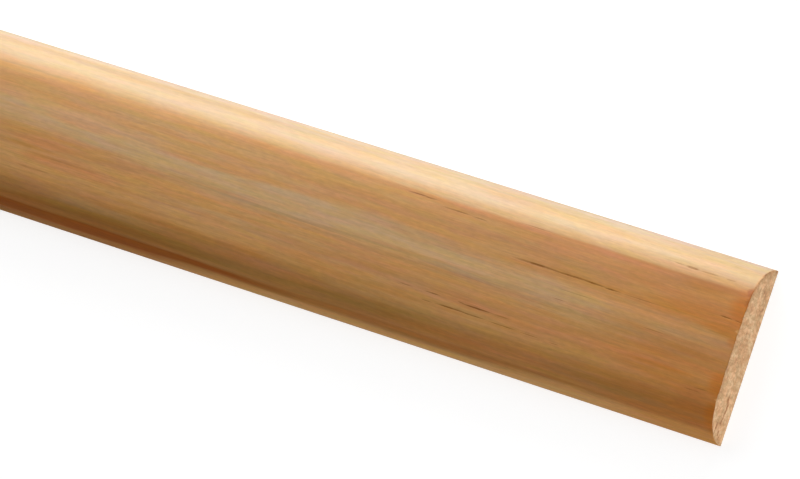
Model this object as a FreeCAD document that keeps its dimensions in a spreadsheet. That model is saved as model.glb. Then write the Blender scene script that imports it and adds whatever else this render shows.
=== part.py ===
import FreeCAD, Part
import math
import os

import Sketcher

# D shape moulding: one straight length of clear softwood with a flat back,
# two rounded shoulders and a shallow crowned face, sawn square at both ends.
#
# Frame: X runs along the length, Y across the width, Z up from the flat back.
# The origin is the middle of the back, so the moulding lies on its back at Z = 0.

doc = FreeCAD.newDocument("DShapeMoulding")


# Sizes in millimetres

SIZES = [
    ("length", 2400.0, "stock length, sawn end to sawn end"),
    ("width", 34.0, "across the flat back"),
    ("thickness", 9.0, "from the flat back to the top of the crown"),
    ("edge_land", 0.3, "square land left beside the back, below each shoulder"),
    ("crown_radius", 115.0, "radius of the shallow arc across the face"),
]

sheet = doc.addObject("Spreadsheet::Sheet", "Sizes")
for row, (alias, value, meaning) in enumerate(SIZES, start=1):
    sheet.set("A%d" % row, meaning)
    sheet.set("B%d" % row, str(value))
    sheet.setAlias("B%d" % row, alias)
doc.recompute()


# The D section, drawn on the YZ plane
#
# Its edges follow each other round from the flat back: land, shoulder arc,
# face arc, shoulder arc, land. The shoulders have no radius of their own: each
# is the one arc that leaves its land upright and runs into the face in
# tangency, so it follows from the width, the thickness and the crown.

def origin_plane(body, role):
    """The body's own origin plane with this role."""
    for feature in body.Origin.OriginFeatures:
        if feature.Role == role:
            return feature
    raise RuntimeError("no origin plane " + role)


moulding = doc.addObject("PartDesign::Body", "Moulding")
moulding.Label = "moulding"

section = moulding.newObject("Sketcher::SketchObject", "Section")
section.AttachmentSupport = (origin_plane(moulding, "YZ_Plane"), [""])
section.MapMode = "FlatFace"


def line(start, end):
    """A straight edge between two (Y, Z) points."""
    return section.addGeometry(Part.LineSegment(
        FreeCAD.Vector(*start), FreeCAD.Vector(*end)))


def arc(centre, radius, start, end):
    """An arc round a (Y, Z) centre, between two angles from the Y axis."""
    circle = Part.Circle(FreeCAD.Vector(*centre), FreeCAD.Vector(0, 0, 1), radius)
    return section.addGeometry(Part.ArcOfCircle(circle, start, end))


half = sheet.get("width") / 2
top = sheet.get("thickness")
land = sheet.get("edge_land")
crown = sheet.get("crown_radius")

# The shoulder's radius from the tangency, and the angle where it meets the face
rise = top - land
shoulder = (2 * crown * rise - rise**2 - half**2) / (2 * (crown - half))
meeting = math.atan2(crown - rise, half - shoulder)

back = line((-half, 0), (half, 0))
right_land = line((half, 0), (half, land))
right_shoulder = arc((half - shoulder, land), shoulder, 0, meeting)
face = arc((0, top - crown), crown, meeting, math.pi - meeting)
left_shoulder = arc((shoulder - half, land), shoulder, math.pi - meeting, math.pi)
left_land = line((-half, land), (-half, 0))
crown_top = section.addGeometry(Part.Point(FreeCAD.Vector(0, top)), True)


# What holds the section together
#
# The number behind an edge says which of its points is meant: 1 its start,
# 2 its end, 3 its centre. Edge -1 is the level axis, which starts at the
# origin, and edge -2 the upright one.

def hold(kind, *edges_and_points):
    """Add a constraint that has no size."""
    section.addConstraint(Sketcher.Constraint(kind, *edges_and_points))


def dimension(name, alias, kind, *edges_points_and_value):
    """Add a named dimension and tie it to its cell in the sheet."""
    index = section.addConstraint(Sketcher.Constraint(kind, *edges_points_and_value))
    section.renameConstraint(index, name)
    section.setExpression("Constraints." + name, "Sizes." + alias)


# Cornered at the back, in tangency all the way over the face
hold("Coincident", back, 2, right_land, 1)
hold("Tangent", right_land, 2, right_shoulder, 1)
hold("Tangent", right_shoulder, 2, face, 1)
hold("Tangent", face, 2, left_shoulder, 1)
hold("Tangent", left_shoulder, 2, left_land, 1)
hold("Coincident", left_land, 2, back, 1)

# Flat back with its middle on the origin, and square, equal lands
hold("Horizontal", back)
hold("Symmetric", back, 1, back, 2, -1, 1)
hold("Vertical", right_land)
hold("Vertical", left_land)
hold("Equal", right_land, left_land)

# The crown's top stands over the middle of the back
hold("PointOnObject", face, 3, -2)
hold("PointOnObject", crown_top, 1, -2)
hold("PointOnObject", crown_top, 1, face)

dimension("Width", "width", "DistanceX", back, 1, back, 2, 2 * half)
dimension("Thickness", "thickness", "DistanceY", -1, 1, crown_top, 1, top)
dimension("EdgeLand", "edge_land", "DistanceY", right_land, 1, right_land, 2, land)
dimension("CrownRadius", "crown_radius", "Radius", face, crown)
doc.recompute()


# The length, half to each side of the origin

run = moulding.newObject("PartDesign::Pad", "Run")
run.Profile = section
run.SideType = "Symmetric"
run.setExpression("Length", "Sizes.length")
moulding.Tip = run
moulding.Placement = FreeCAD.Placement()
doc.recompute()


# Check the model and write its piece

for item in doc.Objects:
    if "Invalid" in item.State or "Error" in item.State:
        raise RuntimeError("%s did not rebuild: %s" % (item.Label, item.State))

if not section.FullyConstrained:
    raise RuntimeError("the D section is not fully constrained")

shape = moulding.Shape
if shape.isNull() or not shape.isValid() or len(shape.Solids) != 1:
    raise RuntimeError("the moulding is not one valid solid")

os.makedirs("parts", exist_ok=True)
shape.exportStep("parts/%s.step" % moulding.Label)
print("%s: %.1f x %.1f x %.1f mm, %.0f mm3" % (
    moulding.Label,
    shape.BoundBox.XLength, shape.BoundBox.YLength, shape.BoundBox.ZLength,
    shape.Volume))
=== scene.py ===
import math
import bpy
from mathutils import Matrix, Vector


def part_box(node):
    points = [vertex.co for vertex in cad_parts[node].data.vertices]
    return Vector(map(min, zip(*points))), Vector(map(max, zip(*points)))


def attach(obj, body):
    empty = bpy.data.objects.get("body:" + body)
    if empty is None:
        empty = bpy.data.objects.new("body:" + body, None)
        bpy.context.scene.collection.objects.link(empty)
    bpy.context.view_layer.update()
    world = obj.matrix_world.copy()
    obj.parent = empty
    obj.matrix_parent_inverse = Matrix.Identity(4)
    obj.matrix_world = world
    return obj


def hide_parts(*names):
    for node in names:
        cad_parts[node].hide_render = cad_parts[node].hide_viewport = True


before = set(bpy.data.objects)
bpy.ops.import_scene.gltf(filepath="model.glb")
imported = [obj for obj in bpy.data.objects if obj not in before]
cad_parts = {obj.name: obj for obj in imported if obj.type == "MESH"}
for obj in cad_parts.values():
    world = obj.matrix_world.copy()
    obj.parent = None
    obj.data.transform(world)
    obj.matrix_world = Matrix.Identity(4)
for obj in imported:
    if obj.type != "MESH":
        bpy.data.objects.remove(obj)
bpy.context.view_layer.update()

from types import SimpleNamespace

import bmesh
import bpy
from mathutils import Euler, Vector, noise

bl_info = {
    "name": "D Shape Moulding",
    "version": (1, 0, 0),
    "blender": (4, 5, 0),
    "location": "3D View > Sidebar > Moulding",
    "description": "A length of D shape pine moulding and the stage it lies on",
    "category": "Add Mesh",
}

MM = 0.001
NODE = "moulding"
BODY = "root"

LOW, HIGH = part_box(NODE)


# Settings

class MouldingSettings(bpy.types.PropertyGroup):
    length: bpy.props.FloatProperty(
        name="Length", description="Sawn end to sawn end",
        default=HIGH[0] - LOW[0], min=0.05, unit="LENGTH", subtype="DISTANCE")
    width: bpy.props.FloatProperty(
        name="Width", description="Across the flat back",
        default=HIGH[1] - LOW[1], min=0.01, unit="LENGTH", subtype="DISTANCE")
    thickness: bpy.props.FloatProperty(
        name="Thickness", description="From the flat back to the top of the crown",
        default=9.0 * MM, min=0.004, unit="LENGTH", subtype="DISTANCE")
    edge_land: bpy.props.FloatProperty(
        name="Edge land", description="Square land left beside the back",
        default=0.3 * MM, min=0.0001, unit="LENGTH", subtype="DISTANCE")
    crown_radius: bpy.props.FloatProperty(
        name="Crown radius", description="Radius of the shallow arc across the face",
        default=115.0 * MM, min=0.02, unit="LENGTH", subtype="DISTANCE")
    arris: bpy.props.FloatProperty(
        name="Arris", description="Width of the worn edge round each sawn end",
        default=0.15 * MM, min=0.02 * MM, unit="LENGTH", subtype="DISTANCE")
    chips: bpy.props.FloatProperty(
        name="Chips", description="How far the saw tore the arris back at most",
        default=0.16 * MM, min=0.0, unit="LENGTH", subtype="DISTANCE")
    ring_spacing: bpy.props.FloatProperty(
        name="Ring spacing", description="Wood that one year adds",
        default=1.5 * MM, min=0.3 * MM, unit="LENGTH", subtype="DISTANCE")


def wood_colour(name, description, red, green, blue):
    """A colour that the panel shows, as light reflected."""
    return bpy.props.FloatVectorProperty(
        name=name, description=description, subtype="COLOR", size=3,
        min=0.0, max=1.0, default=(red, green, blue))


class PineSettings(bpy.types.PropertyGroup):
    early_wood: wood_colour("Early wood", "Pale spring growth", 0.645, 0.318, 0.101)
    late_wood: wood_colour("Late wood", "Darker summer growth", 0.505, 0.226, 0.072)
    # Straw paints the crisp foot of the sheen on the shoulder that faces the key lamp
    straw: wood_colour("Straw", "Where the face turns to sapwood", 0.605, 0.338, 0.128)
    # Cream paints the sheen on the shoulder that faces the key lamp: a paler, whiter band
    cream: wood_colour("Cream", "Sapwood along one shoulder", 0.508, 0.320, 0.139)
    # Deep paints shade: a darker, more saturated band along the shoulder that faces away from
    # the key lamp
    deep: wood_colour("Deep", "Heartwood along the other shoulder", 0.590, 0.255, 0.058)
    pink: wood_colour("Pink", "Rosy drifts", 0.680, 0.275, 0.095)
    pale: wood_colour("Pale", "Greyish drifts", 0.605, 0.376, 0.188)
    olive: wood_colour("Olive", "Dull drifts low on the face", 0.390, 0.212, 0.045)
    ash: wood_colour("Ash", "Thin grey drifts along the middle", 0.430, 0.272, 0.135)
    orange: wood_colour("Orange", "Amber drifts", 0.610, 0.262, 0.033)
    # Umber also paints shade low on the deep shoulder and in notches in the rim
    umber: wood_colour("Umber", "Dark red drifts", 0.390, 0.095, 0.002)
    singed: wood_colour("Singed", "Rim that the saw warmed", 0.620, 0.185, 0.012)
    # Tan also paints light from below on the bottom rim and a highlight on the lit shoulder
    tan: wood_colour("Tan", "Light, warm drifts", 0.780, 0.410, 0.130)
    # Painted highlight: the pale top edge of the shoulder that faces the key lamp
    lit_edge_highlight: wood_colour("Bleached", "Edge of the sapwood", 0.570, 0.430, 0.310)
    resin: wood_colour("Resin", "Thin dark resin streaks", 0.185, 0.058, 0.004)
    end_grain: wood_colour("End grain", "The sawn ends", 0.690, 0.452, 0.243)
    end_blush: wood_colour("End blush", "Rosy patches on the sawn ends", 0.735, 0.440, 0.228)
    end_pale: wood_colour("End pale", "Light streaks on the sawn ends", 0.820, 0.555, 0.345)
    end_streak: wood_colour("End streaks", "Dark streaks on the sawn ends", 0.400, 0.135, 0.030)
    end_rings: wood_colour("End rings", "Late wood on the sawn ends", 0.390, 0.130, 0.055)


class StageSettings(bpy.types.PropertyGroup):
    key: bpy.props.FloatProperty(
        name="Key", description="Broad low lamp across the moulding", default=3.75, min=0.0)
    back: bpy.props.FloatProperty(
        name="Back", description="Lamp behind and above", default=1.15, min=0.0)
    front: bpy.props.FloatProperty(
        name="Front", description="Low lamp on the sawn end", default=1.05, min=0.0)
    side_box: bpy.props.FloatProperty(
        name="Side box", description="Power of the soft box beside the sawn end",
        default=1.02, min=0.0, unit="POWER")
    small_box: bpy.props.FloatProperty(
        name="Small box", description="Power of the small soft box at the corner",
        default=0.33, min=0.0, unit="POWER")
    sky: bpy.props.FloatProperty(
        name="Sky", description="Even light from all round", default=0.1, min=0.0)


# The D section

class Section:
    """Where the arcs of the D lie, worked out from its sizes."""

    def __init__(self, size):
        self.half = size.width / 2
        self.top = size.thickness
        self.land = size.edge_land
        self.crown = size.crown_radius
        rise = self.top - self.land
        self.shoulder = (
            (2 * self.crown * rise - rise**2 - self.half**2)
            / (2 * (self.crown - self.half)))
        self.meeting = math.atan2(self.crown - rise, self.half - self.shoulder)
        self.shoulder_run = self.shoulder * self.meeting
        self.crown_run = self.crown * (math.pi - 2 * self.meeting)
        self.front_run = 2 * (self.land + self.shoulder_run) + self.crown_run
        self.whole_run = self.front_run + 2 * self.half

    def run_at(self, y, z):
        """How far round from the +Y back corner a point of the front lies."""
        if z < self.land:
            side_run = z
        else:
            centre = self.half - self.shoulder
            angle = math.atan2(z - self.land, abs(y) - centre)
            if angle < self.meeting:
                side_run = self.land + self.shoulder * angle
            else:
                lean = math.atan2(self.crown + z - self.top, abs(y)) - self.meeting
                side_run = self.land + self.shoulder_run + self.crown * lean
        return side_run if y > 0 else self.front_run - side_run


# Into how many straight steps each part is cut
SHOULDER_STEPS = 30
CROWN_STEPS = 44
BACK_STEPS = 60
LENGTH_STEPS = 48
ARRIS_STEPS = 3

# Loops round the moulding near each sawn end, and one inside the end's outline
END_CUTS = (0.4 * MM, 1.0 * MM, 2.5 * MM)
CAP_INSET = 0.2 * MM

# How many coarse and fine tears of the arris there are to a millimetre, about,
# and how far apart in the noise the tears of the two ends lie
COARSE_TEARS = 0.9
FINE_TEARS = 3.1
ENDS_APART = 40

# Edges that turn by more than this stay sharp
SHARP_ANGLE = math.radians(40)

# A step too small to see
HAIR = 0.01 * MM


def section_wire(bm, section, x):
    """The D as a closed loop of edges at one end, each arc spun from a point."""
    def turn(vert, centre_y, centre_z, angle, steps):
        spun = bmesh.ops.spin(
            bm, geom=[vert], cent=(x, centre_y, centre_z), axis=(1, 0, 0),
            angle=angle, steps=steps)
        return spun["geom_last"][0]

    offset = section.half - section.shoulder
    right_corner = bm.verts.new((x, section.half, 0))
    right_land = bm.verts.new((x, section.half, section.land))
    bm.edges.new((right_corner, right_land))
    last = turn(right_land, offset, section.land, section.meeting, SHOULDER_STEPS)
    last = turn(last, 0, section.top - section.crown,
                math.pi - 2 * section.meeting, CROWN_STEPS)
    left_land = turn(last, -offset, section.land, section.meeting, SHOULDER_STEPS)
    left_corner = bm.verts.new((x, -section.half, 0))
    bm.edges.new((left_land, left_corner))
    back = bm.edges.new((left_corner, right_corner))
    bmesh.ops.subdivide_edges(bm, edges=[back], cuts=BACK_STEPS - 1)


def is_cap(face):
    return abs(face.normal.x) > 0.99


def is_back(face):
    return face.normal.z < -0.9


def tear_arris(bm, size):
    """Wear round each sawn end: fibres that the saw tore back by uneven amounts."""
    half_length = size.length / 2
    for vert in bm.verts:
        depth = half_length - abs(vert.co.x)
        inside = all(is_cap(face) for face in vert.link_faces)
        if depth > END_CUTS[0] / 2 or inside or vert.co.z < size.arris:
            continue
        apart = math.copysign(ENDS_APART, vert.co.x)
        place = Vector((apart, vert.co.y / MM, vert.co.z / MM))
        coarse = noise.noise(place * COARSE_TEARS)
        fine = noise.noise(place * FINE_TEARS)
        bite = max(0.0, 0.25 + 0.7 * coarse + 0.5 * fine)
        vert.co.x -= math.copysign(size.chips * min(bite, 1.0), vert.co.x)


def lay_flat(bm, section, size):
    """A UV map: the length in three strips, and both sawn ends above."""
    layer = bm.loops.layers.uv.new("OFBake")
    strips = 3
    margin = 0.006
    cap_height = 0.045
    strip_height = (1 - cap_height - margin * (strips + 2)) / strips
    strip_length = size.length / strips
    cap_scale = cap_height / section.top
    cap_lean = 0.8
    for face in bm.faces:
        middle = face.calc_center_median()
        if abs(face.normal.x) > cap_lean:
            offset = section.half * cap_scale + margin
            shift = offset if middle.x > 0 else 3 * offset
            for loop in face.loops:
                loop[layer].uv = (
                    shift + loop.vert.co.y * cap_scale,
                    1 - margin - cap_height + loop.vert.co.z * cap_scale)
            continue
        strip = min(strips - 1, int((middle.x + size.length / 2) / strip_length))
        start = strip * strip_length - size.length / 2
        for loop in face.loops:
            place = loop.vert.co
            if is_back(face):
                run = section.front_run + section.half + place.y
            else:
                run = section.run_at(place.y, place.z)
            loop[layer].uv = (
                margin + (place.x - start) / strip_length * (1 - 2 * margin),
                margin + strip * (strip_height + margin)
                + run / section.whole_run * strip_height)


def moulding_mesh(size):
    """The moulding as one closed mesh, extruded along X from its section."""
    section = Section(size)
    half_length = size.length / 2
    bm = bmesh.new()
    section_wire(bm, section, -half_length)
    end = bmesh.ops.contextual_create(bm, geom=bm.edges[:])["faces"]
    pushed = bmesh.ops.extrude_face_region(bm, geom=end)["geom"]
    bmesh.ops.translate(
        bm, verts=[v for v in pushed if isinstance(v, bmesh.types.BMVert)],
        vec=(size.length, 0, 0))
    long_edges = [e for e in bm.edges if e.calc_length() > half_length]
    bmesh.ops.subdivide_edges(bm, edges=long_edges, cuts=LENGTH_STEPS - 1)
    for cut in END_CUTS:
        for side in (-1, 1):
            bmesh.ops.bisect_plane(
                bm, geom=bm.verts[:] + bm.edges[:] + bm.faces[:],
                plane_co=(side * (half_length - cut), 0, 0), plane_no=(1, 0, 0))
    bmesh.ops.recalc_face_normals(bm, faces=bm.faces[:])
    rims = [e for e in bm.edges
            if sum(is_cap(face) for face in e.link_faces) == 1
            and max(vert.co.z for vert in e.verts) > HAIR]
    bmesh.ops.bevel(
        bm, geom=rims, offset=size.arris, offset_type="OFFSET", segments=ARRIS_STEPS,
        profile=0.5, affect="EDGES", material=-1)
    caps = [face for face in bm.faces if is_cap(face)]
    bmesh.ops.inset_region(bm, faces=caps, thickness=CAP_INSET)
    tear_arris(bm, size)
    bmesh.ops.recalc_face_normals(bm, faces=bm.faces[:])
    for face in bm.faces:
        face.smooth = not (is_cap(face) or is_back(face))
    for edge in bm.edges:
        edge.smooth = edge.calc_face_angle() < SHARP_ANGLE
    lay_flat(bm, section, size)
    return bm


# Nodes

class Tree:
    """Adds nodes to one node tree and links them."""

    def __init__(self, tree):
        self.tree = tree

    def node(self, kind, **settings):
        made = self.tree.nodes.new(kind)
        for name, value in settings.items():
            setattr(made, name, value)
        number = len(self.tree.nodes)
        made.location = (-2600 + number % 14 * 190, 900 - number // 14 * 260)
        return made

    def feed(self, socket, value):
        if isinstance(value, bpy.types.NodeSocket):
            self.tree.links.new(value, socket)
        else:
            socket.default_value = value

    def maths(self, operation, *values):
        made = self.node("ShaderNodeMath", operation=operation)
        for socket, value in zip(made.inputs, values):
            self.feed(socket, value)
        return made.outputs[0]

    def times(self, product, *others):
        for value in others:
            product = self.maths("MULTIPLY", product, value)
        return product

    def vectors(self, operation, first, second):
        made = self.node("ShaderNodeVectorMath", operation=operation)
        self.feed(made.inputs[0], first)
        self.feed(made.inputs[1], second)
        return made.outputs["Vector"]

    def length(self, vector):
        made = self.node("ShaderNodeVectorMath", operation="LENGTH")
        self.feed(made.inputs[0], vector)
        return made.outputs["Value"]

    def from_axis(self, vector, point):
        """How far a place is from the line that runs along X through a point."""
        away = self.vectors("SUBTRACT", vector, point)
        return self.length(self.vectors("MULTIPLY", away, (0, 1, 1)))

    def split(self, vector):
        made = self.node("ShaderNodeSeparateXYZ")
        self.feed(made.inputs[0], vector)
        return made.outputs["X"], made.outputs["Y"], made.outputs["Z"]

    def mapping(self, vector, **values):
        made = self.node("ShaderNodeMapping")
        self.feed(made.inputs["Vector"], vector)
        for name, value in values.items():
            made.inputs[name.capitalize()].default_value = value
        return made.outputs["Vector"]

    def clouds(self, vector, size, detail, output="Fac"):
        """Noise whose clouds are this long, broad and deep, from 0 to 1."""
        made = self.node("ShaderNodeTexNoise")
        self.feed(made.inputs["Vector"],
                  self.mapping(vector, scale=[1 / side for side in size]))
        made.inputs["Scale"].default_value = 1.0
        made.inputs["Detail"].default_value = detail
        return made.outputs[output]

    def shifts(self, vector, size, detail, reach):
        """Shifts in such clouds, up to half the reach to either side."""
        cloud = self.clouds(vector, size, detail, "Color")
        centred = self.vectors("SUBTRACT", cloud, (0.5, 0.5, 0.5))
        return self.vectors("MULTIPLY", centred, reach)

    def ramp(self, value, start, end, low=0.0, high=1.0):
        """Runs smoothly from low at start to high at end, and stays there."""
        made = self.node("ShaderNodeMapRange", interpolation_type="SMOOTHSTEP")
        for name, given in zip(
                ("Value", "From Min", "From Max", "To Min", "To Max"),
                (value, start, end, low, high)):
            self.feed(made.inputs[name], given)
        return made.outputs["Result"]

    def blend(self, factor, first, second, kind="MIX"):
        """Mixes two colours."""
        made = self.node("ShaderNodeMix", data_type="RGBA", blend_type=kind)
        self.feed(made.inputs["Factor"], factor)
        for socket, value in ((made.inputs[6], first), (made.inputs[7], second)):
            if isinstance(value, bpy.types.NodeSocket):
                self.feed(socket, value)
            else:
                socket.default_value = (*value, 1.0)
        return made.outputs[2]

    def multiply(self, colour, tint):
        return self.blend(1.0, colour, tint, "MULTIPLY")

    def stain(self, colour, mask, strength, stain):
        """Turns a colour towards the stain where the mask says, at most by strength."""
        return self.blend(self.maths("MULTIPLY", mask, strength), colour, stain)


def mark_group():
    """A node group for one mark: full strength at its centre, nothing past its size."""
    group = bpy.data.node_groups.new("Mark", "ShaderNodeTree")
    face = group.interface
    face.new_socket("Place", in_out="INPUT", socket_type="NodeSocketVector")
    face.new_socket("Centre", in_out="INPUT", socket_type="NodeSocketVector")
    face.new_socket("Size", in_out="INPUT", socket_type="NodeSocketVector")
    face.new_socket("Strength", in_out="INPUT", socket_type="NodeSocketFloat")
    face.new_socket("Mark", in_out="OUTPUT", socket_type="NodeSocketFloat")
    t = Tree(group)
    given = t.node("NodeGroupInput").outputs
    away = t.vectors("SUBTRACT", given["Place"], given["Centre"])
    away = t.length(t.vectors("DIVIDE", away, given["Size"]))
    mark = t.maths("MULTIPLY", t.ramp(away, 1.0, 0.35), given["Strength"])
    t.feed(t.node("NodeGroupOutput").inputs["Mark"], mark)
    return group


# Marks near the sawn end that the camera sees. Each row is in
# millimetres: from the end, across from the middle, half its length, half its
# breadth, and then its strength.

RESIN_STREAKS = (
    (43.2, 4.38, 5.6, 0.24, 0.88),
    (36.0, 4.27, 7.0, 0.18, 0.70),
    (30.6, 4.20, 2.6, 0.17, 0.80),
    (26.8, 4.12, 2.0, 0.18, 0.90),
    (20.0, 4.05, 6.0, 0.14, 0.35),
    (62.4, -8.35, 1.4, 0.15, 0.55),
    (57.0, -8.25, 4.4, 0.22, 0.9),
    (52.2, -8.35, 3.2, 0.18, 0.85),
    (46.0, -8.45, 3.6, 0.16, 0.65),
    (40.5, -8.55, 2.6, 0.14, 0.45),
    (35.0, -8.70, 1.4, 0.13, 0.45),
    (66.8, -6.60, 1.8, 0.15, 0.55),
    (61.2, -6.65, 1.8, 0.16, 0.7),
    (55.0, -6.70, 1.0, 0.14, 0.5),
    (51.2, -6.85, 4.2, 0.21, 0.95),
    (46.0, -6.90, 2.0, 0.14, 0.45),
    (71.4, 10.40, 2.8, 0.20, 0.65),
    (68.4, 10.30, 1.4, 0.19, 0.65),
    (62.0, 9.50, 4.2, 0.17, 0.60),
    (57.0, 9.40, 2.2, 0.14, 0.45),
    (44.0, 10.92, 5.0, 0.15, 0.45),
    (16.0, 12.55, 1.5, 0.13, 0.45),
    (13.2, 12.50, 1.7, 0.24, 0.95),
    (9.6, 12.45, 2.6, 0.15, 0.6),
    (5.0, 12.40, 1.2, 0.13, 0.45),
    (3.5, 5.65, 1.5, 0.20, 0.85),
    (1.2, 5.55, 1.0, 0.15, 0.55),
    (5.6, -8.90, 2.4, 0.16, 0.45),
    (3.6, -8.30, 2.0, 0.16, 0.45),
    (152.5, -7.50, 5.0, 0.28, 0.32),
    (36.0, -0.60, 2.6, 0.13, 0.40),
    (16.0, -0.70, 3.0, 0.13, 0.40),
    (33.0, 1.40, 5.0, 0.12, 0.35),
    (146.0, -4.65, 6.0, 0.22, 0.25),
)
PALE_DRIFTS = (
    (150.0, 3.2, 36.0, 3.8, 0.9),
    (112.0, 1.4, 42.0, 3.0, 1.0),
    (84.0, 1.6, 30.0, 3.6, 0.9),
    (46.0, 0.6, 32.0, 3.0, 0.8),
    (14.0, 1.2, 22.0, 2.2, 0.45),
    (28.0, -2.6, 26.0, 1.4, 0.35),
    (94.0, -1.6, 34.0, 1.4, 0.4),
    (112.0, -6.8, 26.0, 1.4, 0.5),
    (72.0, -6.6, 24.0, 1.3, 0.4),
    (134.0, -11.2, 22.0, 0.9, 0.3),
    (134.0, 8.2, 40.0, 1.8, 0.35),
    (74.0, 14.7, 28.0, 1.3, 0.5),
    (116.0, 5.6, 40.0, 1.4, 0.30),
    (60.0, 3.2, 14.0, 1.2, 0.35),
    (100.0, -5.2, 30.0, 1.2, 0.35),
)
# Light, warm drifts. The rows at -16.5 and -16.9 across paint light from below on the bottom
# rim of the deep shoulder, and the row at 14.4 paints a highlight on the lit shoulder
TAN_DRIFTS_AND_PAINTED_LIGHT = (
    (96.0, 8.8, 62.0, 1.8, 0.45),
    (66.0, 8.0, 20.0, 1.2, 0.2),
    (88.0, -7.2, 50.0, 1.4, 0.4),
    (138.0, -7.4, 34.0, 1.3, 0.4),
    (120.0, 1.0, 18.0, 1.2, 0.25),
    (148.0, 5.0, 14.0, 1.2, 0.35),
    (54.0, -9.8, 26.0, 1.1, 0.4),
    (20.0, 1.6, 22.0, 1.2, 0.4),
    (5.0, -16.5, 70.0, 2.1, 1.0),
    (24.0, 14.4, 36.0, 1.6, 0.25),
    (78.0, -16.9, 60.0, 1.5, 0.9),
)
ASH_DRIFTS = (
    (94.0, -0.9, 42.0, 0.42, 0.8),
    (58.0, -1.3, 16.0, 0.6, 0.9),
    (44.0, -0.9, 9.0, 0.5, 0.5),
    (30.0, -1.6, 22.0, 0.6, 0.6),
    (70.0, -2.3, 24.0, 0.8, 0.35),
    (6.0, -3.4, 12.0, 1.6, 0.35),
    (14.0, -13.3, 24.0, 0.8, 0.4),
    (60.0, -10.9, 16.0, 1.0, 0.35),
)
OLIVE_DRIFTS = (
    (116.0, -13.0, 48.0, 1.2, 0.6),
    (74.0, -12.6, 18.0, 1.4, 0.7),
    (22.0, -12.8, 18.0, 1.4, 0.4),
    (8.0, 10.4, 9.0, 1.2, 0.5),
    (147.0, -12.9, 20.0, 1.1, 0.4),
)
PINK_DRIFTS = (
    (28.0, 8.6, 22.0, 2.6, 0.7),
    (34.0, -6.4, 34.0, 2.0, 0.8),
    (146.0, -5.2, 14.0, 1.4, 0.9),
    (149.0, -2.2, 12.0, 1.3, 0.8),
    (108.0, -11.3, 32.0, 0.9, 0.8),
    (86.0, -6.6, 46.0, 2.2, 0.45),
    (116.0, 3.4, 12.0, 0.6, 0.5),
    (78.0, -7.4, 5.0, 1.1, 0.8),
    (46.0, 10.3, 46.0, 0.6, 0.7),
    (142.0, -5.7, 10.0, 1.2, 0.6),
    (143.0, 3.6, 13.0, 1.0, 0.45),
    (34.0, -11.3, 30.0, 1.2, 0.4),
    (42.0, -12.8, 22.0, 1.4, 0.9),
)
ORANGE_DRIFTS = (
    (151.0, -3.6, 12.0, 0.5, 0.5),
    (152.0, -0.8, 12.0, 0.8, 0.5),
    (12.0, 5.2, 13.0, 1.6, 0.8),
    (13.0, -6.4, 9.0, 0.8, 0.8),
    (7.0, 9.9, 7.0, 1.4, 0.6),
    (3.0, 3.2, 6.0, 1.6, 0.8),
    (2.0, 3.6, 4.0, 2.6, 0.4),
    (22.0, 4.0, 28.0, 0.9, 0.35),
    (30.0, 5.2, 17.0, 2.0, 0.30),
    (16.0, -7.9, 26.0, 0.9, 0.3),
    (60.0, -8.6, 44.0, 0.8, 0.35),
    (104.0, -9.7, 42.0, 0.9, 0.4),
    (132.0, -12.7, 40.0, 1.0, 0.5),
    (30.0, -11.0, 26.0, 0.9, 0.35),
    (34.0, -9.8, 24.0, 0.9, 0.25),
    (122.0, -9.6, 16.0, 0.9, 0.3),
    (84.0, -15.1, 44.0, 0.9, 0.6),
    (150.0, -14.4, 26.0, 1.0, 0.4),
)
SINGED_DRIFTS = (
    (0.0, 8.0, 4.4, 4.6, 1.0),
    (0.0, 1.6, 2.2, 1.6, 0.6),
    (0.0, -6.6, 3.6, 3.2, 0.9),
    (0.0, -12.4, 2.6, 4.0, 0.9),
    (0.0, 14.0, 0.6, 4.0, 0.35),
)
# Dark red drifts. The long rows from -14.8 to -16.9 across paint shade low on the deep
# shoulder, which faces away from the key lamp
UMBER_DRIFTS_AND_LOW_SHADE = (
    (154.0, -15.3, 74.0, 1.3, 1.3),
    (150.0, -13.6, 50.0, 1.4, 0.35),
    (70.0, -15.05, 68.0, 0.85, 0.42),
    (22.0, 10.7, 34.0, 0.4, 0.18),
    (18.0, -14.8, 34.0, 0.5, 0.2),
    (34.0, 3.9, 22.0, 1.4, 0.11),
    (34.0, -12.6, 32.0, 1.2, 0.12),
    (60.0, 10.3, 76.0, 0.9, 0.18),
    (14.0, -2.4, 20.0, 1.0, 0.12),
    (88.0, -2.2, 30.0, 0.9, 0.09),
    (58.0, -13.2, 18.0, 1.0, 0.12),
    (50.0, 9.5, 26.0, 0.7, 0.12),
    (2.0, -8.6, 8.0, 1.2, 0.12),
    (16.0, -4.9, 20.0, 1.0, 0.10),
    (3.0, -10.6, 8.0, 2.6, 0.12),
    (112.0, -10.2, 40.0, 0.9, 0.2),
    (145.0, -4.7, 14.0, 0.4, 0.2),
    (152.0, -16.9, 64.0, 1.1, 0.22),
)

# Painted shade in notches in the rim of that end, and pale chips in it
RIM_NICK_SHADE = (
    (0.3, 11.3, 1.0, 1.2, 1.0),
    (0.2, 9.4, 0.8, 1.2, 0.7),
)
RIM_CHIPS = (
    (0.1, 3.8, 0.65, 0.5, 1.0),
    (0.0, 6.4, 0.4, 0.4, 0.7),
    (0.0, -9.2, 0.4, 0.5, 0.7),
)

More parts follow.
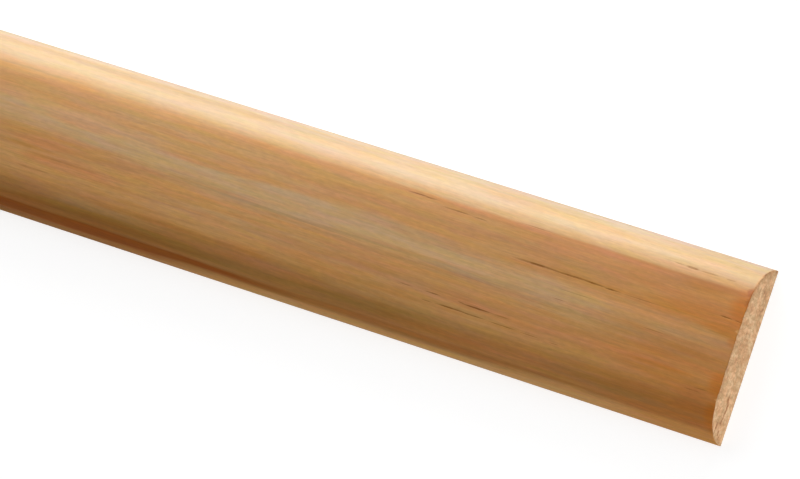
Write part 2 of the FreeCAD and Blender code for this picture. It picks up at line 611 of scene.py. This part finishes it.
# Dark and pale streaks on the sawn end itself: across from the middle, up from
# the back, half the breadth, half the depth, strength
END_STREAKS = (
    (-8.6, 3.60, 1.0, 0.46, 1.0),
    (-9.6, 2.95, 1.0, 0.44, 1.0),
    (-10.7, 2.90, 1.0, 0.34, 1.0),
    (-11.7, 3.20, 1.1, 0.34, 1.0),
    (-12.6, 3.50, 1.0, 0.34, 1.0),
    (-13.8, 5.00, 1.1, 0.36, 1.0),
    (-14.8, 3.10, 0.8, 0.34, 1.0),
    (-15.5, 2.40, 0.8, 0.32, 0.9),
    (9.1, 1.70, 0.5, 0.60, 0.5),
    (5.3, 4.70, 0.4, 0.90, 0.35),
    (5.0, 1.00, 0.6, 0.40, 0.4),
    (12.4, 3.10, 0.5, 0.60, 0.4),
    (14.8, 2.60, 1.2, 1.50, 0.3),
)
END_PALES = (
    (-11.4, 2.50, 1.5, 0.30, 0.9),
    (-14.6, 4.00, 1.2, 0.34, 0.9),
    (-9.0, 5.60, 1.6, 0.40, 0.5),
    (6.3, 4.10, 1.2, 0.80, 0.4),
)

# Marks don't fade with depth: their size that way is far beyond the piece
FAR = 1000.0


def marks(t, group, place, rows):
    """The marks of (centre, size, strength) added up, from 0 to 1."""
    total = 0.0
    for centre, extent, strength in rows:
        node = t.node("ShaderNodeGroup", node_tree=group)
        t.feed(node.inputs["Place"], place)
        node.inputs["Centre"].default_value = centre
        node.inputs["Size"].default_value = extent
        node.inputs["Strength"].default_value = strength
        total = t.maths("ADD", node.outputs["Mark"], total)
    return t.maths("MINIMUM", total, 1.0)


def face_marks(t, group, place, rows):
    return marks(t, group, place, [
        ((-from_end, across, 0), (half_length, half_breadth, FAR), strength)
        for from_end, across, half_length, half_breadth, strength in rows])


def end_marks(t, group, place, rows):
    return marks(t, group, place, [
        ((0, across, up), (FAR, half_breadth, half_depth), strength)
        for across, up, half_breadth, half_depth, strength in rows])


# Pine

# How far the grain runs off the length, where the tree's middle lies in
# millimetres, and how much each millimetre towards +X adds to the distance from it
GRAIN_SLOPE = math.radians(0.63)
PITH = (0.0, 12.0, -95.0)
RING_TAPER = 0.009

# Where each begins and where it is full, in millimetres: the wood beyond the
# camera's part, the skin of the back, and the warm and the scorched strip beside
# a sawn end
UNSEEN = (-170.0, -215.0)
BACK_SKIN = (0.25, 0.05)
WARM_END = (-34.0, -5.0)
SCORCHED_END = (-3.0, -0.3)

# A mark inside the warm strip where the wood stays grey
GREY_AT_THE_END = (0.0, 0.2, 30.0, 3.6, 1.0)

# Bands of colour along the face: painted sheen on the shoulder that faces the
# key lamp and painted shade on the other. Each starts and is full at these shares of
# half the width, plus towards the pale, lit shoulder and minus towards the deep, shaded one.
BANDS = (
    ("straw", 0.635, 0.67),
    ("cream", 0.68, 0.80),
    ("deep", -0.58, -0.82),
)
# Where the painted highlight along the top edge starts and is full
LIT_EDGE_HIGHLIGHT_BAND = (0.84, 1.0)
WARM_BAND = (0.84, 0.63)
DULL_BAND = (-0.82, -0.92)

# Each kind of drift, in the order in which they lie over each other: the name
# of its colour, its strength, its marks, how far its clouds of chance are
# shifted, and where those start and are full
# Some tan and umber rows are painted light and shade, as noted at their tables
DRIFTS = (
    ("pale", 0.85, PALE_DRIFTS, 300, 0.52, 0.70),
    ("pink", 0.65, PINK_DRIFTS, 600, 0.54, 0.70),
    ("orange", 0.75, ORANGE_DRIFTS, 900, 0.56, 0.72),
    ("ash", 0.60, ASH_DRIFTS, 1800, 0.60, 0.78),
    ("olive", 0.60, OLIVE_DRIFTS, 450, 0.58, 0.80),
    ("umber", 0.90, UMBER_DRIFTS_AND_LOW_SHADE, 1200, 0.64, 0.90),
    ("tan", 0.85, TAN_DRIFTS_AND_PAINTED_LIGHT, 1500, 0.56, 0.74),
)
YELLOWING_SHIFT = 2100

# Tints that the colours are multiplied by
AMBER = (0.97, 0.80, 0.58)
RED_TINT = (1.00, 0.945, 0.96)
GREEN_TINT = (0.965, 1.01, 0.965)
YELLOW_TINT = (1.0, 1.0, 0.85)
BLUE_TINT = (0.99, 1.0, 1.10)
DARK_END_TINT = (1.0, 0.88, 0.74)
SINGED_TINT = (0.82, 0.74, 0.64)
NO_TINT = (1.0, 1.0, 1.0)


def lay_out_wood(t, size):
    """Where a point lies in the wood, in millimetres with X = 0 at the +X end."""
    wood = SimpleNamespace()
    half_length = size.length / 2 / MM
    wood.half_width = size.width / 2 / MM
    coordinates = t.node("ShaderNodeTexCoord")
    wood.solid = t.mapping(coordinates.outputs["Object"], scale=[1 / MM] * 3,
                           location=(-half_length, 0, 0))
    wood.along, wood.across, wood.up = t.split(wood.solid)

    # How far past the nearer sawn end a point lies: 0 there, less inside the length
    from_middle = t.maths("ABSOLUTE", t.maths("ADD", wood.along, half_length))
    wood.rim = t.maths("SUBTRACT", from_middle, half_length)

    # 1 on the sawn ends, 0 on the long faces
    facing = t.split(coordinates.outputs["Normal"])[0]
    wood.end = t.ramp(t.maths("ABSOLUTE", facing), 0.55, 0.85)

    # The grain wanders a little, and marks have ragged outlines
    straight = t.mapping(wood.solid, rotation=(0, 0, GRAIN_SLOPE))
    sway = t.shifts(straight, (170, 16, 16), 1.0, (0, 3.2, 2.0))
    ripple = t.shifts(straight, (30, 2.0, 2.0), 2.0, (12, 1.1, 1.1))
    fibrous = t.shifts(straight, (18, 0.5, 0.5), 2.0, (5, 0.35, 0.35))
    shorter = t.vectors("MULTIPLY", fibrous, (0.3, 1, 1))
    wood.grain = t.vectors("ADD", straight, sway)
    wood.drifting = t.vectors("ADD", wood.solid, ripple)
    wood.streaking = t.vectors("ADD", wood.solid, fibrous)
    wood.burning = t.vectors("ADD", wood.solid, shorter)
    return wood


def grow_wood(t, wood, size):
    """Adds the clouds of the fibre and the late wood of the rings, from 0 to 1."""
    wood.fine = t.clouds(wood.grain, (4.5, 0.26, 0.26), 3.0)
    wood.middle = t.clouds(wood.grain, (42, 0.75, 0.75), 3.0)
    wood.broad = t.clouds(wood.grain, (150, 4.0, 4.0), 2.0)
    wood.mottle = t.clouds(wood.grain, (1.7, 0.42, 0.42), 3.0)
    wood.blush = t.clouds(wood.grain, (12, 1.2, 1.2), 3.0)
    shifted = t.mapping(wood.grain, location=(0, YELLOWING_SHIFT, 0))
    wood.yellowing = t.clouds(shifted, (9, 1.2, 1.2), 3.0)

    # Growth rings round a pith below the back
    radius = t.maths("MULTIPLY_ADD", wood.along, RING_TAPER, t.from_axis(wood.grain, PITH))
    years = t.node("ShaderNodeCombineXYZ")
    t.feed(years.inputs["X"], radius)
    uneven = t.clouds(years.outputs[0], (3.2, 1, 1), 1.0)
    radius = t.maths("MULTIPLY_ADD", uneven, 2.4, radius)
    radius = t.maths("MULTIPLY_ADD", wood.middle, 0.25, radius)
    ring = t.maths("FRACT", t.maths("DIVIDE", radius, size.ring_spacing / MM))
    wood.late = t.times(t.ramp(ring, 0.30, 0.90), t.ramp(ring, 1.0, 0.93))


def mark_wood(t, wood):
    """Adds the masks of drifts (some tan and umber rows are painted light and shade), resin
    streaks and singed wood, from 0 to 1.
    """
    wood.group = mark_group()
    unseen = t.maths("MAXIMUM", t.ramp(wood.along, *UNSEEN), t.ramp(wood.up, *BACK_SKIN))
    front = t.ramp(wood.up, *BACK_SKIN, 1.0, 0.0)

    def mask(place, rows, *chance):
        """Listed marks near the camera, and marks by chance along the rest and on the back."""
        placed = t.times(face_marks(t, wood.group, place, rows), front)
        return t.maths("MAXIMUM", placed, t.times(*chance, unseen))

    wood.drifts = {}
    for name, _, rows, shift, start, full in DRIFTS:
        shifted = t.mapping(wood.grain, location=(0, shift, 0))
        chance = t.ramp(t.clouds(shifted, (60, 4.5, 4.5), 2.0), start, full)
        wood.drifts[name] = mask(wood.drifting, rows, chance)

    cells = t.node("ShaderNodeTexVoronoi")
    t.feed(cells.inputs["Vector"], t.mapping(wood.grain, scale=(1 / 150, 1 / 2.6, 1 / 14)))
    cells.inputs["Scale"].default_value = 1.0
    chance = t.ramp(cells.outputs["Distance"], 0.075, 0.01)
    patchy = t.ramp(t.clouds(wood.solid, (2.5, 3, 3), 2.0), 0.36, 0.58, 0.60, 1.0)
    wood.streaks = t.times(mask(wood.streaking, RESIN_STREAKS, chance), patchy)

    strip = t.ramp(wood.rim, *SCORCHED_END)
    scorched = t.ramp(t.clouds(wood.solid, (3, 2.4, 2.4), 2.0), 0.36, 0.60)
    wood.singed = mask(wood.burning, SINGED_DRIFTS, strip, scorched)


def face_colour(t, wood, colours):
    def band(start, full, low=0.0, high=1.0):
        return t.ramp(wood.across, wood.half_width * start, wood.half_width * full, low, high)

    colour = t.stain(colours.early_wood, wood.late, 0.36, colours.late_wood)
    # The bands paint sheen on the shoulder facing the key lamp and shade on the other
    for name, start, full in BANDS:
        colour = t.blend(band(start, full), colour, getattr(colours, name))
    # Drifts; the tan rows paint light on the bottom rim and a highlight, the umber rows paint
    # shade low on the deep shoulder
    for name, strength, *_ in DRIFTS:
        colour = t.stain(colour, wood.drifts[name], strength, getattr(colours, name))
    # Painted highlight along the top edge of the lit shoulder
    colour = t.stain(colour, band(*LIT_EDGE_HIGHLIGHT_BAND), 0.85, colours.lit_edge_highlight)

    grey = face_marks(t, wood.group, wood.drifting, [GREY_AT_THE_END])
    warmed = t.times(t.ramp(wood.rim, *WARM_END), t.ramp(grey, 0.0, 1.0, 1.0, 0.4),
                     band(*WARM_BAND, 0.1, 1.0))
    colour = t.blend(warmed, colour, t.multiply(colour, AMBER))
    colour = t.stain(colour, wood.singed, 0.85, colours.singed)
    # Painted shade in notches at the rim
    notch_shade = face_marks(t, wood.group, wood.burning, RIM_NICK_SHADE)
    colour = t.stain(colour, notch_shade, 0.75, colours.umber)
    chips = face_marks(t, wood.group, wood.burning, RIM_CHIPS)
    colour = t.stain(colour, chips, 0.80, colours.tan)
    colour = t.stain(colour, wood.streaks, 0.80, colours.resin)

    for cloud, low, high in ((wood.blush, RED_TINT, GREEN_TINT),
                             (wood.yellowing, YELLOW_TINT, BLUE_TINT)):
        colour = t.multiply(colour, t.blend(t.ramp(cloud, 0.34, 0.66), low, high))
    return colour


def end_colour(t, wood, colours, section):
    """The colour of the sawn ends, and their light and dark. Adds the specks' mask."""
    shivered = t.vectors("ADD", wood.solid, t.shifts(
        wood.solid, (4, 1.1, 0.8), 1.0, (0, 1.0, 0.9)))
    hue = t.ramp(t.clouds(wood.solid, (4, 1.6, 2.2), 2.0), 0.40, 0.60)
    colour = t.blend(hue, colours.end_blush, colours.end_grain)
    light = end_marks(t, wood.group, shivered, END_PALES)
    colour = t.stain(colour, light, 0.7, colours.end_pale)

    wood.speck = t.ramp(t.clouds(wood.solid, (1, 0.75, 1.3), 3.0), 0.34, 0.66)
    wrinkle = t.clouds(wood.solid, (1, 1.0, 1.3), 2.0)
    wrinkle = t.maths("ABSOLUTE", t.maths("SUBTRACT", wrinkle, 0.5))
    blotch = t.clouds(wood.solid, (4, 3.0, 3.4), 2.0)
    shade = t.times(t.maths("MULTIPLY_ADD", wood.speck, 0.20, 0.92),
                    t.ramp(wrinkle, 0.0, 0.07, 0.87, 1.03),
                    t.ramp(blotch, 0.36, 0.64, 0.91, 1.09))
    tint = t.blend(t.ramp(shade, 0.80, 1.20), DARK_END_TINT, NO_TINT)
    colour = t.multiply(colour, tint)

    broken = t.ramp(t.clouds(wood.solid, (4, 2.6, 1.1), 2.0), 0.46, 0.66)
    colour = t.stain(colour, t.times(wood.late, broken), 0.38, colours.end_rings)
    dark = end_marks(t, wood.group, shivered, END_STREAKS)
    colour = t.stain(colour, dark, 0.85, colours.end_streak)

    # The shoulder that the saw left last is singed along its arc
    centre = (0, (section.half - section.shoulder) / MM, section.land / MM)
    radius = section.shoulder / MM
    arc = t.ramp(t.from_axis(wood.solid, centre), radius - 1.1, radius - 0.1)
    arc = t.times(arc, t.ramp(wood.across, centre[1], centre[1] + 2.5))
    return t.blend(arc, colour, t.multiply(colour, SINGED_TINT)), shade


def pine_material(colours, size):
    """Flat-sawn pine that runs through the whole piece."""
    material = bpy.data.materials.new("pine")
    material.use_nodes = True
    t = Tree(material.node_tree)
    shader = t.tree.nodes["Principled BSDF"]
    wood = lay_out_wood(t, size)
    grow_wood(t, wood, size)
    mark_wood(t, wood)
    ends, end_shade = end_colour(t, wood, colours, Section(size))
    colour = t.blend(wood.end, face_colour(t, wood, colours), ends)

    # Light and dark along the fibres
    shade = t.times(*[
        t.maths("MULTIPLY_ADD", cloud, contrast, 1 - contrast / 2)
        for cloud, contrast in ((wood.fine, 0.28), (wood.middle, 0.30),
                                (wood.broad, 0.30), (wood.mottle, 0.32))])
    mixed = t.node("ShaderNodeMix", data_type="FLOAT")
    t.feed(mixed.inputs["Factor"], wood.end)
    t.feed(mixed.inputs[2], shade)
    t.feed(mixed.inputs[3], end_shade)
    grey = t.node("ShaderNodeCombineColor")
    for socket in grey.inputs:
        t.feed(socket, mixed.outputs[0])
    t.feed(shader.inputs["Base Color"], t.multiply(colour, grey.outputs[0]))

    # Gloss
    rough = t.maths("MULTIPLY_ADD", wood.middle, 0.16, 0.37)
    rough = t.maths("MULTIPLY_ADD", wood.late, -0.04, rough)
    rough = t.maths("MULTIPLY_ADD", wood.end, 0.30, rough)
    t.feed(shader.inputs["Roughness"], rough)
    start, full = (wood.half_width * share for share in DULL_BAND)
    dull = t.ramp(wood.across, start, full, 0.0, 0.6)
    for mask in (wood.drifts["umber"], wood.streaks):
        dull = t.maths("MAXIMUM", dull, mask)
    t.feed(shader.inputs["Specular IOR Level"], t.maths("MULTIPLY_ADD", dull, -0.38, 0.5))

    # Relief, in millimetres
    height = t.maths("MULTIPLY_ADD", wood.middle, 0.020, t.times(wood.fine, 0.010))
    height = t.maths("MULTIPLY_ADD", wood.streaks, -0.030, height)
    height = t.maths("MULTIPLY_ADD", t.times(wood.end, wood.speck), 0.10, height)
    bump = t.node("ShaderNodeBump")
    bump.inputs["Strength"].default_value = 1.0
    bump.inputs["Distance"].default_value = MM
    t.feed(bump.inputs["Height"], height)
    t.feed(shader.inputs["Normal"], bump.outputs["Normal"])
    return material


def make_moulding(size, colours):
    bm = moulding_mesh(size)
    mesh = bpy.data.meshes.new("moulding_wood")
    bm.to_mesh(mesh)
    bm.free()
    piece = bpy.data.objects.new("moulding_wood", mesh)
    bpy.context.scene.collection.objects.link(piece)
    mesh.materials.append(pine_material(colours, size))
    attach(piece, BODY)
    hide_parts(NODE)


class MOULDING_OT_wood(bpy.types.Operator):
    """Model the moulding and give it its pine"""
    bl_idname = "moulding.wood"
    bl_label = "Moulding"

    def execute(self, context):
        make_moulding(context.scene.moulding_size, context.scene.moulding_pine)
        return {"FINISHED"}


# Stage

VIEW_YAW = math.radians(26.26)
VIEW_PITCH = math.radians(1.50)
VIEW_ROLL = math.radians(18.41)
VIEW_DISTANCE = 951.7 * MM
VIEW_AIM = Vector((1200 - 60.9, 0.5, 30.1)) * MM
LENS = 232.9
SENSOR = 36

# Broad suns: azimuth, elevation and spread in degrees
SUNS = (
    ("key", 95, 2, 40),
    ("back", 140, 40, 50),
    ("front", 20, 8, 60),
)
# Soft boxes: place and size in metres, and the point that they all face
BOXES = (
    ("side_box", Vector((0.90, 0.35, 0.12)), 0.20),
    ("small_box", Vector((1.40, -0.25, 0.10)), 0.15),
)
BOX_AIM = Vector((1.13, 0, 0))

# The floor: what it gives the moulding, how it glows and takes a shadow before
# the camera, and how dark it mirrors in the gloss
FLOOR_REACH = 60
FLOOR_BOUNCE = 0.95
FLOOR_GLOW = 0.82
FLOOR_GREY = (0.36, 0.36, 0.36, 1)
FLOOR_MIRRORED = (0.1, 0.1, 0.1, 1)
WHITE = (1, 1, 1, 1)


def add_camera():
    camera = bpy.data.cameras.new("camera")
    camera.lens = LENS
    camera.sensor_width = SENSOR
    camera.clip_start = 0.01
    camera.clip_end = 100
    holder = bpy.data.objects.new("camera", camera)
    bpy.context.scene.collection.objects.link(holder)
    turn = Euler((VIEW_PITCH, VIEW_YAW, VIEW_ROLL), "ZXY")
    holder.rotation_mode = "ZXY"
    holder.rotation_euler = turn
    holder.location = VIEW_AIM + turn.to_matrix() @ Vector((0, 0, VIEW_DISTANCE))
    bpy.context.scene.camera = holder


def add_floor():
    """A pale floor that the camera sees as white, with the moulding's soft shadow."""
    bm = bmesh.new()
    bmesh.ops.create_grid(bm, x_segments=1, y_segments=1, size=FLOOR_REACH)
    bmesh.ops.translate(bm, verts=bm.verts[:], vec=(0, 0, -HAIR))
    mesh = bpy.data.meshes.new("floor")
    bm.to_mesh(mesh)
    bm.free()
    floor = bpy.data.objects.new("floor", mesh)
    bpy.context.scene.collection.objects.link(floor)
    material = bpy.data.materials.new("pale_floor")
    material.use_nodes = True
    t = Tree(material.node_tree)
    t.tree.nodes.remove(t.tree.nodes["Principled BSDF"])
    pale = t.node("ShaderNodeEmission")
    pale.inputs["Strength"].default_value = FLOOR_BOUNCE
    shadow = t.node("ShaderNodeBsdfDiffuse")
    shadow.inputs["Color"].default_value = FLOOR_GREY
    glow = t.node("ShaderNodeEmission")
    glow.inputs["Strength"].default_value = FLOOR_GLOW
    white = t.node("ShaderNodeAddShader")
    t.feed(white.inputs[0], shadow.outputs[0])
    t.feed(white.inputs[1], glow.outputs[0])
    dim = t.node("ShaderNodeBsdfDiffuse")
    dim.inputs["Color"].default_value = FLOOR_MIRRORED
    rays = t.node("ShaderNodeLightPath").outputs
    bounced = t.node("ShaderNodeMixShader")
    t.feed(bounced.inputs["Fac"], rays["Is Glossy Ray"])
    t.feed(bounced.inputs[1], pale.outputs[0])
    t.feed(bounced.inputs[2], dim.outputs[0])
    choose = t.node("ShaderNodeMixShader")
    t.feed(choose.inputs["Fac"], rays["Is Camera Ray"])
    t.feed(choose.inputs[1], bounced.outputs[0])
    t.feed(choose.inputs[2], white.outputs[0])
    t.feed(t.tree.nodes["Material Output"].inputs["Surface"], choose.outputs[0])
    mesh.materials.append(material)


def add_lamp(light, towards, place=(0, 0, 0)):
    lamp = bpy.data.objects.new(light.name, light)
    lamp.rotation_euler = towards.to_track_quat("Z", "Y").to_euler()
    lamp.location = place
    bpy.context.scene.collection.objects.link(lamp)


def add_sun(name, strength, azimuth, elevation, spread):
    """A broad, soft sun. All angles are in degrees, azimuth from +X towards +Y."""
    light = bpy.data.lights.new(name, "SUN")
    light.energy = strength
    light.angle = math.radians(spread)
    level = math.cos(math.radians(elevation))
    add_lamp(light, Vector((
        level * math.cos(math.radians(azimuth)),
        level * math.sin(math.radians(azimuth)),
        math.sin(math.radians(elevation)))))


def add_box(name, power, place, size):
    light = bpy.data.lights.new(name, "AREA")
    light.energy = power
    light.shape = "SQUARE"
    light.size = size
    add_lamp(light, place - BOX_AIM, place)


def add_lamps(stage):
    for name, azimuth, elevation, spread in SUNS:
        add_sun(name, getattr(stage, name), azimuth, elevation, spread)
    for name, place, size in BOXES:
        add_box(name, getattr(stage, name), place, size)
    world = bpy.data.worlds.new("studio")
    world.use_nodes = True
    t = Tree(world.node_tree)
    sky = t.tree.nodes["Background"]
    sky.inputs["Color"].default_value = WHITE
    sky.inputs["Strength"].default_value = stage.sky
    seen = t.node("ShaderNodeBackground")
    seen.inputs["Color"].default_value = WHITE
    seen.inputs["Strength"].default_value = 1.0
    choose = t.node("ShaderNodeMixShader")
    t.feed(choose.inputs["Fac"], t.node("ShaderNodeLightPath").outputs["Is Camera Ray"])
    t.feed(choose.inputs[1], sky.outputs[0])
    t.feed(choose.inputs[2], seen.outputs[0])
    t.feed(t.tree.nodes["World Output"].inputs["Surface"], choose.outputs[0])
    bpy.context.scene.world = world


class MOULDING_OT_stage(bpy.types.Operator):
    """Lay the pale floor, hang the lamps and set the camera"""
    bl_idname = "moulding.stage"
    bl_label = "Stage"

    def execute(self, context):
        add_floor()
        add_lamps(context.scene.moulding_stage)
        add_camera()
        context.scene.view_settings.view_transform = "Standard"
        return {"FINISHED"}


class MOULDING_PT_panel(bpy.types.Panel):
    bl_label = "D Shape Moulding"
    bl_idname = "MOULDING_PT_panel"
    bl_space_type = "VIEW_3D"
    bl_region_type = "UI"
    bl_category = "Moulding"

    def draw(self, context):
        layout = self.layout
        scene = context.scene
        for group in (scene.moulding_size, scene.moulding_pine, scene.moulding_stage):
            box = layout.box()
            for name in group.__annotations__:
                box.prop(group, name)
        layout.operator(MOULDING_OT_wood.bl_idname)
        layout.operator(MOULDING_OT_stage.bl_idname)


CLASSES = (MouldingSettings, PineSettings, StageSettings, MOULDING_OT_wood,
           MOULDING_OT_stage, MOULDING_PT_panel)


def register():
    for item in CLASSES:
        bpy.utils.register_class(item)
    bpy.types.Scene.moulding_size = bpy.props.PointerProperty(type=MouldingSettings)
    bpy.types.Scene.moulding_pine = bpy.props.PointerProperty(type=PineSettings)
    bpy.types.Scene.moulding_stage = bpy.props.PointerProperty(type=StageSettings)


def unregister():
    del bpy.types.Scene.moulding_stage
    del bpy.types.Scene.moulding_pine
    del bpy.types.Scene.moulding_size
    for item in reversed(CLASSES):
        bpy.utils.unregister_class(item)


def main():
    register()
    bpy.ops.moulding.wood()
    bpy.ops.moulding.stage()


if __name__ == "__main__":
    main()
